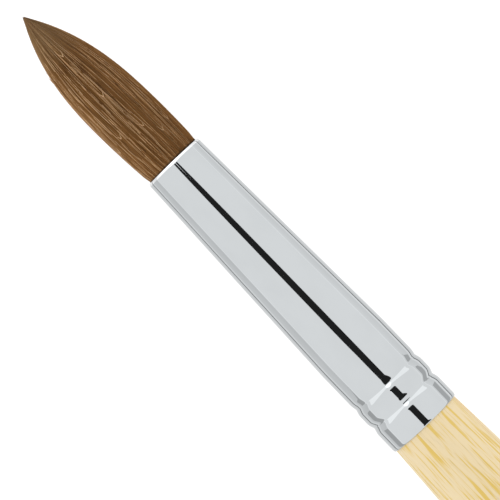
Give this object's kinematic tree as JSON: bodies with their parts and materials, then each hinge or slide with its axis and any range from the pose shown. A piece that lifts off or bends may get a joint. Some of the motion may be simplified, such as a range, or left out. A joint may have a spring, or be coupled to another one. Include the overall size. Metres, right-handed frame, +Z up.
{
  "type": "paint brush",
  "caption": "Short-handled round artist's paint brush: pointed brown hair tuft, twice-crimped bright metal ferrule and clear-varnished pale wood handle; the tuft flexes.",
  "frame": {"origin": "centre of the brush's box, on the surface that the brush lies on", "axes": "+X along the brush towards the tip of the hair, +Z up, +Y towards the side that the hair leans to"},
  "size_m": [0.2174, 0.0128, 0.0128],
  "materials": {
    "handle_wood": "clear gloss varnish over pale wood",
    "glue": "set amber glue",
    "ferrule_plate": "bright nickel plate",
    "resin": "set resin",
    "thread": "waxed thread",
    "hair": "soft brown hair with a satin sheen"
  },
  "bodies": {
    "brush": {"handle": "handle_wood", "handle_glue": "glue", "ferrule": "ferrule_plate", "root_resin": "resin", "root_binding": "thread", "hair_roots": "hair"},
    "tuft_belly": {"hair_belly": "hair"},
    "tuft_point": {"hair_point": "hair"}
  },
  "joints": [
    {"name": "tuft_bend", "type": "hinge", "parent": "brush", "child": "tuft_belly", "pos_m": [0.08541, 0.00016, 0.0064], "axis": [0, 0, 1], "range_deg": [-25, 25], "stiffness_Nm_per_rad": 0.012},
    {"name": "point_bend", "type": "hinge", "parent": "tuft_belly", "child": "tuft_point", "pos_m": [0.0964, 0.00059, 0.0064], "axis": [0, 0, 1], "range_deg": [-30, 30], "stiffness_Nm_per_rad": 0.004}
  ]
}
